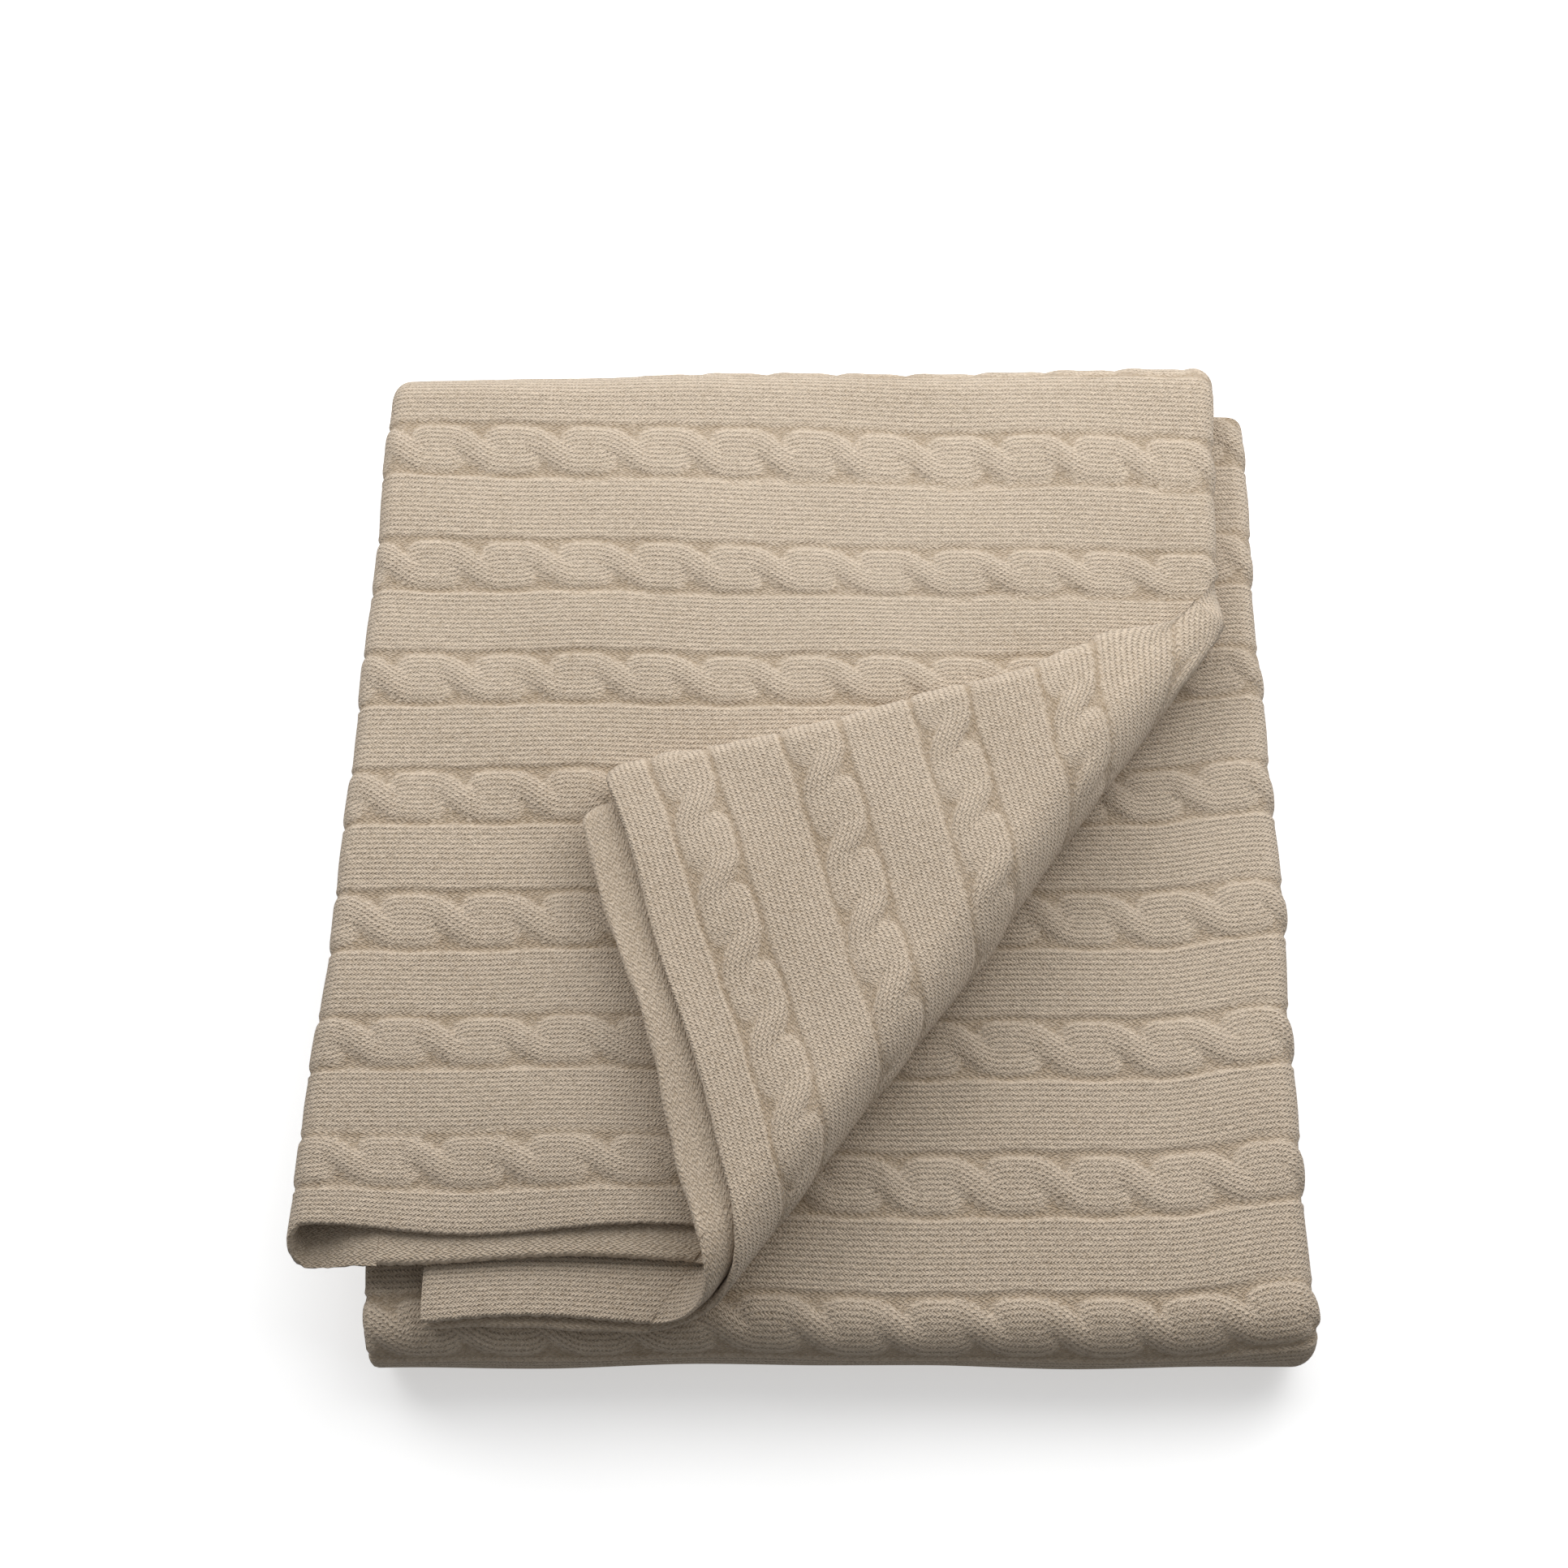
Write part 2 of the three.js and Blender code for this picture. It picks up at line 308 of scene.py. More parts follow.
def rounded(distance, width=2.4):
    """Share of the full thickness that is left near a free edge."""
    inside = np.clip(distance / width, 0, 1)
    return 0.32 + 0.68 * np.sqrt(1 - (1 - inside) ** 2)


def knitted_mesh(name, base, normal, u, v, edge, step, flipped=False):
    """A closed sheet: a right side, a wrong side with one cell for step cells of the right
    side each way, and a rim. base is its middle surface, and edge is the share of its
    thickness that is left at each point. Each face's corners say where its stitches are."""
    height, purl, places, front, back = knit(u, v)
    rows, cols = u.shape
    ri, ci = every(rows, step), every(cols, step)
    right = base + ((FACE + height) * edge)[..., None] * normal
    wrong = (base + (REVERSE * edge)[..., None] * normal)[np.ix_(ri, ci)]
    points = np.concatenate([right.reshape(-1, 3), wrong.reshape(-1, 3)])
    index = np.arange(rows * cols).reshape(rows, cols)
    under = rows * cols + np.arange(len(ri) * len(ci)).reshape(len(ri), len(ci))
    quads = cells(index)
    # A face belongs to whichever strand is higher there, or else to the ground.
    on_front = front.ravel()[quads].mean(axis=1)
    on_back = back.ravel()[quads].mean(axis=1)
    strand = np.where(on_front >= on_back, 1, 2)
    strand = np.where(np.maximum(on_front, on_back) > 0.1, strand, 0)
    # Half way between crossings the strands change names, and the ground's places serve both.
    strand = np.where(np.ptp(((u / TWIST + 0.5) % 1).ravel()[quads], axis=1) > 0.5, 0, strand)
    place = places.reshape(3, -1)[strand[:, None], quads]
    corners = np.stack([u.ravel()[quads], place, purl.ravel()[quads]], axis=-1)
    faces = quads.tolist() + cells(under)[:, ::-1].tolist() + rim_faces(index, under, ri, ci)
    at_point = np.stack([u, places[0], purl], axis=-1).reshape(-1, 3)
    below = np.stack([u, places[0], np.ones_like(u)], axis=-1)[np.ix_(ri, ci)].reshape(-1, 3)
    at_point = np.concatenate([at_point, below])
    rest = [at_point[face] for face in faces[len(quads):]]
    corners = np.concatenate([corners.reshape(-1, 3)] + rest)
    obj = mesh_object(name, points, faces, corners)
    if flipped:
        obj.data.flip_normals()
    return obj


def bundle_sheet(
    name, columns, rows, left, right, pattern, anchor, step, front=None, free=None, reach=0.0
):
    """A sheet that follows one section from side to side and one run of rows from front to
    back. left and right give the bundle's sides at a row's y. anchor is a column on the level
    run and the sense in which the run goes. front says where the sheet's free front edge is,
    and free names the end of the columns that is a free edge. reach is how much further
    forward than that each column goes."""
    kind, layer = name.split("_")
    layer = int(layer)
    y0, a, z0, b, v_row = (rows[:, i][:, None] for i in range(5))
    wl, wr, off, h, nx, nh = (columns[:, i][None, :] for i in range(6))
    xl, xr = left(y0), right(y0)
    x = wl * xl + wr * xr + off
    run = np.hypot(np.diff(x, axis=1), np.diff(h + 0 * x, axis=1))
    u = np.concatenate([np.zeros((len(rows), 1)), np.cumsum(run, axis=1)], axis=1)
    at, sense = anchor
    start = x[:, at:at + 1] if sense > 0 else TURNED_FROM - x[:, at:at + 1]
    u = u - u[:, at:at + 1] + start
    edge = np.ones_like(x)
    y_shift = np.zeros_like(x)
    z_shift = np.zeros_like(x)
    v = v_row + 0 * x
    if front is not None:
        back = v_row - front
        edge = edge * rounded(back)
        y_shift = 0.3 * np.sin(2 * math.pi * u / 4.2) * np.exp(-back / 2.5)
        forward = reach * np.exp(-back / 12)
        v = v + forward
        y_shift = y_shift + forward + edge_wave(kind, layer, x) * np.exp(-back / 22)
        z_shift = edge_lift(kind, layer, x) * np.exp(-back / EDGE_FALL)
    v = pattern(x, v) - FIRST_CABLE[kind]
    if free is not None:
        end = u[:, :1] if free == "first" else u[:, -1:]
        edge = edge * rounded(np.abs(u - end))
    base = np.stack([x, y0 + a * h + y_shift, z0 + b * h + z_shift], axis=-1)
    normal = np.stack([nx + 0 * x, a * nh + 0 * x, b * nh + 0 * x], axis=-1)
    flipped = b[-1, 0] < 0
    return knitted_mesh(name, base, normal, u - CROSSING[kind], v, edge, step, flipped)


def edge_wave(kind, layer, x):
    """How a free front edge wanders forward and back."""
    if kind == "corner":
        return 0.8 * np.sin(x / 19 + 2.0 * layer)
    size = {1: 2.3, 2: 1.0, 3: 1.4, 4: 1.0}[layer]
    return size * np.cos(2 * math.pi * (x + 200) / 148 + 1.3 * (layer - 1))


def edge_lift(kind, layer, x):
    """How a free front edge rises and falls."""
    if kind == "corner":
        return -0.8 + 0.5 * np.sin(x / 17 + layer)
    size = {1: 1.0, 2: 0.7, 3: 0.5, 4: 0.3}[layer]
    return size * np.sin(2 * math.pi * (x + 200) / 117 + 0.9 * layer) - 1.2


def cut(obj, keep_outside):
    """Cut a sheet along the upright plane through the crease, and close it there."""
    sheet = bmesh.new()
    sheet.from_mesh(obj.data)
    normal = Vector((OUT[0], OUT[1], 0))
    everything = list(sheet.verts) + list(sheet.edges) + list(sheet.faces)
    bmesh.ops.bisect_plane(
        sheet,
        geom=everything,
        plane_co=Vector(AXIS_POINT) * MM,
        plane_no=normal,
        clear_outer=not keep_outside,
        clear_inner=keep_outside,
    )
    rim = [e for e in sheet.edges if e.is_boundary]
    bmesh.ops.holes_fill(sheet, edges=rim, sides=0)
    bmesh.ops.recalc_face_normals(sheet, faces=list(sheet.faces))
    sheet.to_mesh(obj.data)
    sheet.free()


def turn_back(obj):
    """Turn a sheet half way round the crease."""
    centre = Vector(AXIS_POINT) * MM
    half_turn = Matrix.Rotation(math.pi, 4, Vector((ALONG[0], ALONG[1], 0)))
    obj.data.transform(Matrix.Translation(centre) @ half_turn @ Matrix.Translation(-centre))


BACK_LEAN = 6.5  # how far the pile swells out at the back
BACK_LEAN_RIGHT = 4.5  # and how much more than that to the right
LEFT_LEAN = 5.0  # how far the upper bundle's back left corner comes out to the left
PRESSED = 0.62  # share of its height that the turned corner loses where the crease starts


def lie(p):
    """How the whole pile lies: fuller at the back, and pressed flat where the crease starts."""
    x, y, z = p[:, 0], p[:, 1], p[:, 2]
    moved = p.copy()
    lean = BACK_LEAN + BACK_LEAN_RIGHT * ramp(x, -110, -40)
    moved[:, 1] += lean * ramp(y, 110, 220) * ramp(z, 3, 33)
    moved[:, 0] -= LEFT_LEAN * ramp(y, 60, 210) * ramp(x, -60, -160) * ramp(z, 36, 48)
    s = (x - AXIS_POINT[0]) * ALONG[0] + (y - AXIS_POINT[1]) * ALONG[1]
    press = 1 - PRESSED * (1 - ramp(s, -5, 80))
    above = np.clip(z - AXIS_Z, 0, None)
    moved[:, 2] -= above * (1 - press)
    return moved


START_SLIDE = 16.0  # how far the top of the roll is laid back over the start of the crease
START_LIMIT = -9.0  # the place along the crease that it stays short of
START_SOFTNESS = 4.0  # how gently it is stopped there


def narrow(p):
    """Bring the turned corner to a point where the crease starts, and lay it over the start."""
    x, y = p[:, 0] - AXIS_POINT[0], p[:, 1] - AXIS_POINT[1]
    s = x * ALONG[0] + y * ALONG[1]
    q = np.minimum(x * OUT[0] + y * OUT[1], 0)
    over = s - START_SLIDE * (1 - ramp(s, 0, 60)) - START_LIMIT
    over = 0.5 * (over + np.sqrt(over**2 + START_SOFTNESS**2)) + START_LIMIT
    slide = smooth((p[:, 2] - AXIS_Z) / 6) * (over - s)
    back = q * (ramp(over, -7, 33) - 1)
    moved = p.copy()
    moved[:, 0] += back * OUT[0] + slide * ALONG[0]
    moved[:, 1] += back * OUT[1] + slide * ALONG[1]
    return moved


def settle_object(obj):
    """Move a finished sheet's points from their plain places to where the soft pile has them."""
    count = len(obj.data.vertices)
    co = np.zeros(count * 3)
    obj.data.vertices.foreach_get("co", co)
    points = co.reshape(-1, 3) / MM
    if obj.name.startswith(("corner", "crease")):
        points = narrow(points)
    points = settle(lie(points)) * MM
    obj.data.vertices.foreach_set("co", points.ravel())
    obj.data.update()


# ---------------------------------------------------------------- the bundles' sides
def upper_left(y):
    f = (y - UPPER_FRONT[1]) / (BACK_Y - UPPER_FRONT[1])
    return UPPER_LEFT_FRONT + (UPPER_LEFT_BACK - UPPER_LEFT_FRONT) * np.clip(f, -0.1, 1)


def upper_right(y):
    return UPPER_RIGHT_BACK - UPPER_RIGHT_SLOPE * (BACK_Y - np.clip(y, -250, BACK_Y))


def lower_left(y):
    return LOWER_LEFT + 0 * y


def lower_right(y):
    f = (y - FRONT_Y) / (BACK_Y - FRONT_Y)
    return LOWER_RIGHT_FRONT + (LOWER_RIGHT_BACK - LOWER_RIGHT_FRONT) * np.clip(f, 0, 1)


def crease_x(y):
    return AXIS_POINT[0] + (y - AXIS_POINT[1]) * ALONG[0] / ALONG[1]


def corner_left(y):
    return crease_x(y) - 4


def corner_right(outer, edge_y):
    """The corner's side fold comes nearer to the crease's start, and gets flatter there. Where
    it meets the free front edge the cloth's corner is rounded off."""

    def side(y):
        off = np.clip((edge_y + 11 - y) / 11, 0, 1)
        rounding = 6.5 * (1 - np.sqrt(1 - 0.98 * off**2))
        level = 143.5 + 6 * ramp(y, -60, -170) + 8 * ramp(y, 0, 75)
        inset = 0 if outer else 12 * ramp(y, 20, -130)
        return np.maximum(level - inset - rounding, crease_x(y) + 2)

    return side


def upper_pattern(x, y):
    """The cables lie closer together at the front, and slant down to the right at the back."""
    r = np.clip(-60 - y, 0, None)
    closer = 0.18 * (r - 22 * (1 - np.exp(-r / 22)))
    return y - closer + 9.5 * ramp(y, 20, 190) * (x + 130) / 300


def middle_pattern(x, y):
    """The cables bend forward a little at the right."""
    return y - 5.5 * ramp(x, 140, 195)


def corner_pattern(x, y):
    """The cables lie closer together towards the left."""
    first = FIRST_CABLE["corner"]
    return first + (y - first) * CABLE_PERIOD / (49.9 + 0.041 * x)


# ---------------------------------------------------------------- the folded bundles
LOOP_RADIUS = 7.0  # of the open loop at the upper bundle's left
LOOP_HEIGHT = 10.5
CORNER_BACK = 100.0  # further back than the turned corner reaches
CORNER_SEAM = 48  # degrees round the outer side fold where corner_1 meets corner_4


def section(layer, across, fine):
    """The columns of one layer of the two lower bundles, from left to right of its length."""
    if layer == 1:
        return joined(
            bend_run(0, HEIGHT[1] - INNER_BEND, INNER_BEND, -180, -270, 4),
            flat_run(HEIGHT[1], True, across),
            bend_run(1, FOLD_HEIGHT, OUTER_BEND, 90, -90, 18 if fine else 10),
        ), (3, 1)
    if layer == 2:
        return joined(
            bend_run(1, FOLD_HEIGHT, INNER_BEND, -90, 90, 8, face_out=False),
            flat_run(HEIGHT[2], False, across, reverse=True),
            bend_run(0, HEIGHT[2] + INNER_BEND, INNER_BEND, -90, -180, 4),
        ), (7, -1)
    run = flat_run(HEIGHT[layer], layer == 3, across, reverse=layer == 4)
    return run, (0, 1 if layer == 3 else -1)


def rows_from_edge(kind, edge_y, end, steps=None):
    """Row positions from a free edge back to end. They are close together at the edge, so that
    it can be rounded. steps, for a fine sheet, are those of graded()."""
    if steps is None:
        close = [0, 0.6, 1.3, 2.2, 3.4, 5, 7, 9, 11, 13, 15, 18, 21]
        return np.concatenate([edge_y + np.array(close), np.linspace(edge_y + 25, end, 66)])
    ys = graded(edge_y, end, FIRST_CABLE[kind], *steps)
    return np.concatenate([edge_y + np.array([0, 0.5, 1.1, 1.8]), ys[ys > edge_y + 2.5]])


def middle_sheet(layer):
    """One layer of the middle bundle, with its bend at the front."""
    fine = layer == 1
    radius = HEIGHT[layer]
    columns, anchor = section(layer, 232 if fine else 60, fine)
    turn = math.pi * radius
    count = max(6, int(turn / (1.5 if fine else 5)))
    nose = arc_rows(FRONT_Y, BUNDLE, 180, 0, count, -1, 0, radius)
    nose[:, 4] = FRONT_Y - turn + nose[:, 4] * -1
    if fine:
        ys = graded(FRONT_Y, BACK_Y - 1, FIRST_CABLE["middle"], 1.35, 2.4)
    else:
        ys = np.linspace(FRONT_Y, BACK_Y - 1, 70)
    rows = np.concatenate([nose[:-1], level_rows(ys, BUNDLE, 1)])
    obj = bundle_sheet(
        f"middle_{layer}", columns, rows, lower_left, lower_right, middle_pattern, anchor,
        4 if fine else 1,
    )
    return obj, np.ptp(rows[:, 4]) * MM


def bottom_sheet(layer):
    """One layer of the bottom bundle."""
    columns, anchor = section(layer, 60, False)
    ys = np.linspace(FRONT_Y, BACK_Y, 70)
    rows = level_rows(ys, BUNDLE, -1)
    rows[:, 4] = (FRONT_Y - math.pi * HEIGHT[layer]) - (ys - FRONT_Y)
    obj = bundle_sheet(
        f"bottom_{layer}", columns, rows, lower_left, lower_right, middle_pattern, anchor, 1,
    )
    return obj, np.ptp(rows[:, 4]) * MM


def upper_section(layer):
    """The columns of one layer of the upper bundle, its anchor, and how much further forward
    than its free edge each column goes."""
    if layer == 1:
        tail = curve_run([(28, 12.5), (18, 12.5), (10, 3.5), (0, 3.5)], 12)
        columns = joined(
            tail,
            bend_run(0, LOOP_HEIGHT, LOOP_RADIUS, -90, -270, 16),
            flat_run(HEIGHT[1], True, 232),
            bend_run(1, FOLD_HEIGHT, OUTER_BEND, 90, -90, 18),
        )
        level = np.zeros(len(columns) - 27)
        reach = smooth(np.concatenate([np.full(11, 1.0), np.linspace(1, 0, 16), level]))
        return columns, (26, 1), (UPPER_FRONT[2] - UPPER_FRONT[1] - 2) * reach[None, :]
    if layer == 2:
        columns = joined(
            bend_run(1, FOLD_HEIGHT, INNER_BEND, -90, 90, 8, face_out=False),
            flat_run(HEIGHT[2], False, 120, left_off=28, reverse=True),
        )
        return columns, (7, -1), 0.0
    across = {3: 110, 4: 60}[layer]
    columns = flat_run(HEIGHT[layer], layer == 3, across, left_off=46, reverse=layer == 4)
    return columns, (0, 1 if layer == 3 else -1), 0.0


def back_rows(layer, fine):
    """Rows of the bend at the back: a quarter turn, straight down, and a quarter turn."""
    h = HEIGHT[layer]
    quarter = max(4, int(math.pi / 2 * h / (1.5 if fine else 4)))
    above = arc_rows(BACK_Y, 2 * BUNDLE, 0, 90, quarter, 1, BACK_Y, h)
    z = np.linspace(2 * BUNDLE, BUNDLE, 14 if fine else 5)
    v = above[-1, 4] + 2 * BUNDLE - z
    wall = np.stack([0 * z + BACK_Y, 0 * z + 1, z, 0 * z, v], axis=1)
    below = arc_rows(BACK_Y, BUNDLE, 90, 180, quarter, 1, wall[-1, 4], h)
    return np.concatenate([above[1:], wall[1:], below[1:]])


def upper_sheet(layer):
    """One layer of the upper bundle, with its bend at the back, cut off at the crease."""
    fine = layer == 1
    columns, anchor, reach = upper_section(layer)
    edge_y = UPPER_FRONT[layer]
    ys = rows_from_edge("upper", edge_y, BACK_Y, (1.35, 2.4) if fine else None)
    rows = np.concatenate([level_rows(ys, 2 * BUNDLE, 1), back_rows(layer, fine)])
    obj = bundle_sheet(
        f"upper_{layer}", columns, rows, upper_left, upper_right, upper_pattern, anchor,
        4 if fine else 1, front=edge_y, free={3: "first", 4: "last"}.get(layer), reach=reach,
    )
    cut(obj, keep_outside=False)
    return obj, (np.ptp(rows[:, 4]) + np.max(reach)) * MM


def corner_section(layer, across):
    """The columns of one layer of the turned corner, with its share of the side fold."""
    top = flat_run(HEIGHT[layer], layer in (1, 3), across, reverse=layer in (2, 4))
    if layer == 1:
        fold = bend_run(1, FOLD_HEIGHT, OUTER_BEND, 90, CORNER_SEAM, 5)
        return joined(top, fold), (0, 1)
    if layer == 2:
        fold = bend_run(1, FOLD_HEIGHT, INNER_BEND, 0, 90, 5, face_out=False)
        return joined(fold, top), (4, -1)
    if layer == 3:
        fold = bend_run(1, FOLD_HEIGHT, INNER_BEND, -90, 0, 5, face_out=False)
        return joined(top, fold), (0, 1)
    fold = bend_run(1, FOLD_HEIGHT, OUTER_BEND, CORNER_SEAM, -90, 14)
    return joined(fold, top), (13, -1)


def corner_sheet(layer):
    """One layer of the corner, made as if it lay forward, cut off at the crease, and turned."""
    fine = layer == 4
    edge_y = CORNER_FRONT[layer]
    side = corner_right(layer in (1, 4), edge_y)
    columns, anchor = corner_section(layer, 120 if fine else 50)
    ys = rows_from_edge("corner", edge_y, CORNER_BACK, (1.3, 2.2) if fine else None)
    obj = bundle_sheet(
        f"corner_{layer}", columns, level_rows(ys, 2 * BUNDLE, 1), corner_left, side,
        corner_pattern, anchor, 4 if fine else 1, front=edge_y,
    )
    cut(obj, keep_outside=True)
    length = np.ptp([vertex.co.y for vertex in obj.data.vertices])
    turn_back(obj)
    return obj, length


# ---------------------------------------------------------------- the crease
STRETCH = 1.68  # how much longer the side folds' sections are, cut along the crease
FOLD_ALONG = (-15.6, 18.0)  # where the side folds cross the crease, below and above its axis


def crease_end(front, kind, layer):
    """How far along the crease a sheet's free front edge is."""
    wave = edge_wave(kind, layer, crease_x(front))
    return (front + wave - AXIS_POINT[1]) / ALONG[1]


def crease_sheet(layer):
    """One layer's half turn round the crease, with its share of the side fold."""
    fine = layer == 4
    outer = layer in (1, 4)
    side = 1.0 if layer in (3, 4) else -1.0
    sense = 1.0 if outer else -1.0
    rho = OUTER_BEND if outer else INNER_BEND
    last = {1: CORNER_SEAM, 2: 90, 3: 90, 4: 180 - CORNER_SEAM}[layer]
    radius = BUNDLE - HEIGHT[layer]
    steps = 38 if fine else 14
    phi = np.linspace(0, math.pi, steps)[:, None]
    psi = np.radians(np.linspace(last, 0, 14 if fine else 6))
    run = np.linspace(0, 1, 250 if fine else 60)[1:]
    s_fold = FOLD_ALONG[0] + (FOLD_ALONG[1] - FOLD_ALONG[0]) * phi / math.pi
    front_from = crease_end(UPPER_FRONT[layer], "upper", layer)
    front_to = crease_end(CORNER_FRONT[layer], "corner", layer)
    s_front = front_from + (front_to - front_from) * phi / math.pi
    s_side = s_fold - STRETCH * rho * np.sin(psi)[None, :]
    s = np.concatenate([s_side, s_fold + (s_front - s_fold) * run[None, :]], axis=1)
    r_line = np.concatenate([FOLD_HEIGHT + side * rho * np.cos(psi), np.full(run.shape, radius)])
    lean = np.concatenate([np.cos(psi), np.ones(run.shape)])
    slide = np.concatenate([np.sin(psi), np.zeros(run.shape)])
    r = r_line[None, :] + 0 * s
    nr = side * sense * lean[None, :] + 0 * s
    ns = -STRETCH * sense * slide[None, :] + 0 * s
    q = r * np.sin(phi)
    z = AXIS_Z - r * np.cos(phi)
    lift_from = edge_lift("upper", layer, crease_x(UPPER_FRONT[layer]))
    lift_to = -edge_lift("corner", layer, crease_x(CORNER_FRONT[layer]))
    behind = (s_front - s) * abs(ALONG[1])
    z = z + (lift_from + (lift_to - lift_from) * phi / math.pi) * np.exp(-behind / EDGE_FALL)
    base = np.stack(
        [
            AXIS_POINT[0] + s * ALONG[0] + q * OUT[0],
            AXIS_POINT[1] + s * ALONG[1] + q * OUT[1],
            z,
        ],
        axis=-1,
    )
    normal = np.stack(
        [
            nr * np.sin(phi) * OUT[0] + ns * ALONG[0],
            nr * np.sin(phi) * OUT[1] + ns * ALONG[1],
            -nr * np.cos(phi),
        ],
        axis=-1,
    )
    # Where each point would lie in the plan of the unturned cloth, which gives its stitches.
    q_plan = (phi - math.pi) * r
    px = AXIS_POINT[0] + s * ALONG[0] + q_plan * OUT[0]
    py = AXIS_POINT[1] + s * ALONG[1] + q_plan * OUT[1]
    u = (px if layer in (1, 3) else TURNED_FROM - px) - CROSSING["corner"]
    v = corner_pattern(px, py) - FIRST_CABLE["corner"]
    edge = rounded((s_front - s) * abs(ALONG[1]))
    obj = knitted_mesh(f"crease_{layer}", base, normal, u, v, edge, 4 if fine else 1)
    sheet = bmesh.new()
    sheet.from_mesh(obj.data)
    bmesh.ops.recalc_face_normals(sheet, faces=list(sheet.faces))
    sheet.to_mesh(obj.data)
    sheet.free()
    return obj, np.ptp(s) * MM


# ---------------------------------------------------------------- every sheet
pieces = {}
flat_length = {}  # of each piece, in metres: along the crease, or across the cables elsewhere

for makers in ((middle_sheet, bottom_sheet), (upper_sheet,), (corner_sheet,), (crease_sheet,)):
    for layer in LAYERS:
        for maker in makers:
            obj, length = maker(layer)
            pieces[obj.name] = obj
            flat_length[obj.name] = length

for obj in pieces.values():
    settle_object(obj)
    obj.data.shade_smooth()
    obj.data.set_sharp_from_angle(angle=math.radians(55))


# ---------------------------------------------------------------- material
class Graph:
    """A short way to write the nodes of one material."""

    def __init__(self, material):
        material.use_nodes = True
        self.tree = material.node_tree
        self.shader = self.tree.nodes["Principled BSDF"]

    def add(self, kind, **settings):
        node = self.tree.nodes.new(kind)
        for key, value in settings.items():
            setattr(node, key, value)
        return node

    def feed(self, socket, value):
        if isinstance(value, bpy.types.NodeSocket):
            self.tree.links.new(value, socket)
        else:
            socket.default_value = value

    def math(self, operation, a, b=0.0, c=0.0):
        node = self.add("ShaderNodeMath", operation=operation)
        for socket, value in zip(node.inputs, (a, b, c)):
            self.feed(socket, value)
        return node.outputs[0]

    def mix(self, share, a, b):
        node = self.add("ShaderNodeMix", data_type="FLOAT")
        for socket, value in zip(node.inputs[:1] + node.inputs[2:4], (share, a, b)):
            self.feed(socket, value)
        return node.outputs[0]

    def mix_colour(self, share, a, b):
        node = self.add("ShaderNodeMix", data_type="RGBA")
        for socket, value in zip((node.inputs[0], node.inputs[6], node.inputs[7]), (share, a, b)):
            self.feed(socket, value)
        return node.outputs[2]

    def noise(self, vector, scale, detail):
        node = self.add("ShaderNodeTexNoise")
        self.feed(node.inputs["Vector"], vector)
        node.inputs["Scale"].default_value = scale
        node.inputs["Detail"].default_value = detail
        return node.outputs["Fac"]

    def swing(self, vector, scale, detail, size):
        """Noise about 0."""
        about_zero = self.math("SUBTRACT", self.noise(vector, scale, detail), 0.5)
        return self.math("MULTIPLY", about_zero, size)


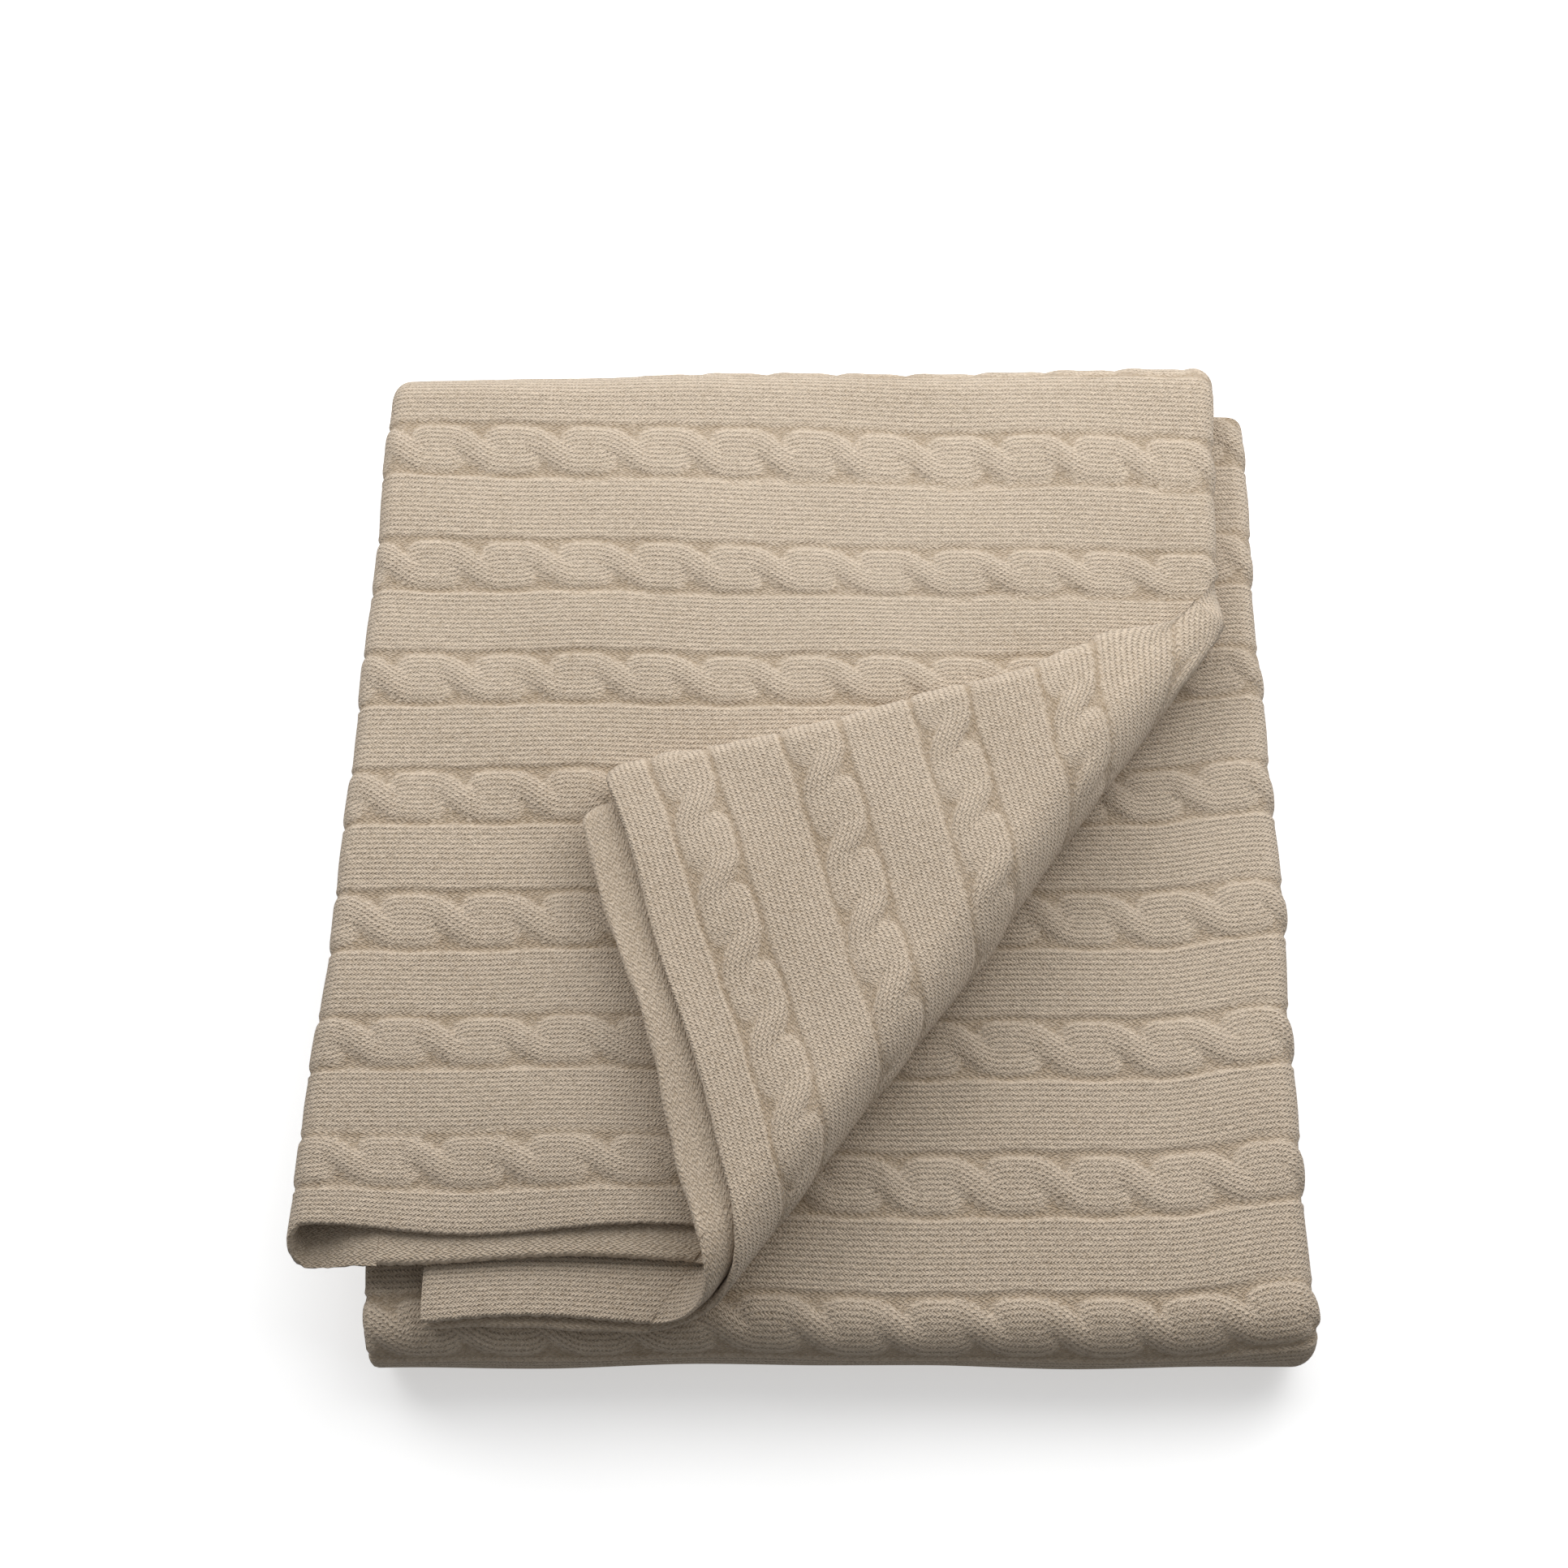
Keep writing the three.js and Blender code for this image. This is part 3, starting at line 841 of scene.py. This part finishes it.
def knit_material(name, light, dark):
    """Knitted yarn: stitches as bump, and as painted shade between the dark and the light colour.
    """
    material = bpy.data.materials.new(name)
    g = Graph(material)
    stitch = g.add("ShaderNodeAttribute", attribute_name="knit")
    split = g.add("ShaderNodeSeparateXYZ")
    g.feed(split.inputs[0], stitch.outputs["Vector"])
    along, across, purl = split.outputs
    place = g.add("ShaderNodeTexCoord").outputs["Object"]
    # No two stitches are quite alike, so their places are shaken a little both ways.
    u = g.math("ADD", g.math("DIVIDE", along, COURSE), g.swing(place, 330.0, 2.0, 0.9))
    v = g.math("ADD", g.math("DIVIDE", across, WALE), g.swing(place, 610.0, 2.0, 0.6))
    # Each plain stitch is a V: two legs that lean away from the middle of its column.
    middle = g.math("ABSOLUTE", g.math("SUBTRACT", g.math("FRACT", v), 0.5))
    lean = g.math("MULTIPLY_ADD", middle, 1.7, u)
    lean = g.math("COSINE", g.math("MULTIPLY", lean, 2 * math.pi))
    gap = g.math("MULTIPLY", g.math("MULTIPLY", middle, middle), 4.0)
    dots = g.math("MULTIPLY_ADD", lean, -0.46, 0.46)
    plain = g.math("SUBTRACT", 1.0, g.math("MULTIPLY", gap, dots))
    plain = g.math("ADD", plain, g.math("MULTIPLY_ADD", lean, 0.15, -0.15))
    # Purl stitches make a zigzag of bars across their column.
    slant = g.math("MULTIPLY_ADD", u, 0.6, g.math("MULTIPLY", middle, 1.6))
    bars = g.math("COSINE", g.math("MULTIPLY", slant, 2 * math.pi))
    knots = g.math("MULTIPLY_ADD", bars, 0.3, 0.6)
    turned = g.math("MINIMUM", purl, 1.0)
    ditch_shade = g.math("MAXIMUM", g.math("SUBTRACT", purl, 1.0), 0.0)
    height = g.mix(turned, plain, knots)
    # Single fibres, then the colour: painted shade, darker between stitches and in the ditches,
    # then uneven in large soft patches, and broken up by loose fluff.
    height = g.math("ADD", height, g.swing(place, 900.0, 3.0, 1.5))
    # Painted shade: the lower a point of the stitch relief, the darker its colour, as in the shade
    # between stitches.
    shade_and_tone = g.math("MULTIPLY_ADD", height, 0.66, 0.38)
    # Painted shade: darker in the purl ditches beside the cables.
    shade_and_tone = g.math("MULTIPLY", shade_and_tone, g.math("MULTIPLY_ADD", ditch_shade, -0.46, 1.0))
    shade_and_tone = g.math("ADD", shade_and_tone, g.swing(place, 9.0, 2.0, 0.5))
    shade_and_tone = g.math("ADD", shade_and_tone, g.swing(place, 420.0, 3.0, 0.9))
    shade_and_tone = g.math("MAXIMUM", g.math("MINIMUM", shade_and_tone, 1.0), 0.0)
    colour = g.mix_colour(shade_and_tone, (*dark, 1.0), (*light, 1.0))
    g.feed(g.shader.inputs["Base Color"], colour)
    g.shader.inputs["Roughness"].default_value = 0.95
    g.shader.inputs["Specular IOR Level"].default_value = 0.15
    g.shader.inputs["Sheen Weight"].default_value = 0.25
    g.shader.inputs["Sheen Roughness"].default_value = 0.6
    bump = g.add("ShaderNodeBump")
    bump.inputs["Strength"].default_value = 1.0
    bump.inputs["Distance"].default_value = 0.0006
    g.feed(bump.inputs["Height"], height)
    g.feed(g.shader.inputs["Normal"], bump.outputs[0])
    return material


# The dark colour stands for the painted shade between stitches and in the ditches, and for the
# darker patches of the yarn.
wool = knit_material("wool", (0.665, 0.547, 0.421), (0.36, 0.26, 0.16))

# ---------------------------------------------------------------- what each sheet stands for
REPLACED = {
    "bottom_1": ["bottom_layer_1", "bottom_right_fold_outer"],
    "bottom_2": ["bottom_layer_2", "bottom_right_fold_inner", "bottom_left_fold"],
    "bottom_3": ["bottom_layer_3"],
    "bottom_4": ["bottom_layer_4"],
    "middle_1": ["middle_layer_1", "middle_right_fold_outer", "front_bend_1"],
    "middle_2": ["middle_layer_2", "middle_right_fold_inner", "middle_left_fold", "front_bend_2"],
    "middle_3": ["middle_layer_3", "front_bend_3"],
    "middle_4": ["middle_layer_4", "front_bend_4"],
    "upper_1": ["upper_layer_1", "upper_left_loop", "upper_right_fold_outer", "back_bend_1"],
    "upper_2": ["upper_layer_2", "upper_right_fold_inner", "back_bend_2"],
    "upper_3": ["upper_layer_3", "back_bend_3"],
    "upper_4": ["upper_layer_4", "back_bend_4"],
    "crease_1": ["crease_bend_1"],
    "crease_2": ["crease_bend_2"],
    "crease_3": ["crease_bend_3"],
    "crease_4": ["crease_bend_4"],
    "corner_1": ["corner_layer_1"],
    "corner_2": ["corner_layer_2", "corner_fold_inner"],
    "corner_3": ["corner_layer_3"],
    "corner_4": ["corner_layer_4", "corner_fold_outer"],
}


# What lies on what, from the floor up, and round the outside of the crease inwards.
PILE = [f"bottom_{k}" for k in (1, 2, 3, 4)] + [f"middle_{k}" for k in (4, 3, 2, 1)]
PILE += [f"upper_{k}" for k in (4, 3, 2, 1)] + [f"corner_{k}" for k in (1, 2, 3, 4)]


def half_surface(obj):
    return sum(p.area for p in obj.data.polygons) / 2


def width_along_cables(obj):
    """The longest run of stitches in a sheet, in metres."""
    values = np.zeros(len(obj.data.loops) * 3, np.float32)
    obj.data.attributes["knit"].data.foreach_get("vector", values)
    return np.ptp(values.reshape(-1, 3)[:, 0]) * MM


RELIEF = 1.02  # surface of a cabled sheet for its flat size, as on the rectangle middle_1
CREASE_FILL = 0.9  # the share of its rectangle that the strip round the crease fills

for name, obj in pieces.items():
    obj.data.materials.append(wool)
    kind, layer = name.split("_")
    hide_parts(*REPLACED[name])
    if kind == "crease":
        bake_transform(obj)
    else:
        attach(obj, "turned_corner" if kind == "corner" else "stack")
    length = flat_length[name]
    area = half_surface(obj) / RELIEF
    if kind == "crease":
        width = area / length / CREASE_FILL
    else:
        width = width_along_cables(obj)
    if kind in ("bottom", "middle"):
        area = width * length

# ---------------------------------------------------------------- floor, light and camera
bpy.ops.mesh.primitive_plane_add(size=40)
floor = bpy.context.object
floor.name = "floor"
paper = bpy.data.materials.new("paper")
paper.use_nodes = True
paper_shader = paper.node_tree.nodes["Principled BSDF"]
paper_shader.inputs["Base Color"].default_value = (0.92, 0.92, 0.92, 1)
paper_shader.inputs["Roughness"].default_value = 0.9
paper_shader.inputs["Emission Color"].default_value = (1, 1, 1, 1)
paper_shader.inputs["Emission Strength"].default_value = 0.45
floor.data.materials.append(paper)
floor.visible_diffuse = False  # so that it throws no light up at the blanket

world = bpy.data.worlds.new("studio")
world.use_nodes = True
background = world.node_tree.nodes["Background"]
background.inputs["Color"].default_value = (1, 1, 1, 1)
background.inputs["Strength"].default_value = 0.22
bpy.context.scene.world = world


def soft_light(name, place, aim, size, watts):
    data = bpy.data.lights.new(name, "AREA")
    data.size = size
    data.energy = watts
    lamp = bpy.data.objects.new(name, data)
    lamp.location = place
    lamp.rotation_euler = (Vector(aim) - Vector(place)).to_track_quat("-Z", "Y").to_euler()
    bpy.context.scene.collection.objects.link(lamp)


LIT_POINT = (0, 0.1, 0)
soft_light("key", (0.25, 0.74, 0.76), LIT_POINT, 1.4, 10.5)
soft_light("left", (-0.8, 0.55, 0.75), LIT_POINT, 0.8, 6.5)
soft_light("right", (0.8, 0.55, 0.6), LIT_POINT, 0.8, 4.5)

centre = (cad_bounds[0] + cad_bounds[1]) / 2
ELEVATION = math.radians(64)
DISTANCE = 0.9323
aim = centre + Vector((-0.0116, 0.01135, 0.02))
camera = bpy.data.objects.new("camera", bpy.data.cameras.new("camera"))
camera.data.lens = 51.2
camera.data.sensor_width = 36
camera.location = aim + DISTANCE * Vector((0, -math.cos(ELEVATION), math.sin(ELEVATION)))
camera.rotation_euler = (math.pi / 2 - ELEVATION, 0, 0)
bpy.context.scene.collection.objects.link(camera)
bpy.context.scene.camera = camera
bpy.context.scene.view_settings.view_transform = "Standard"
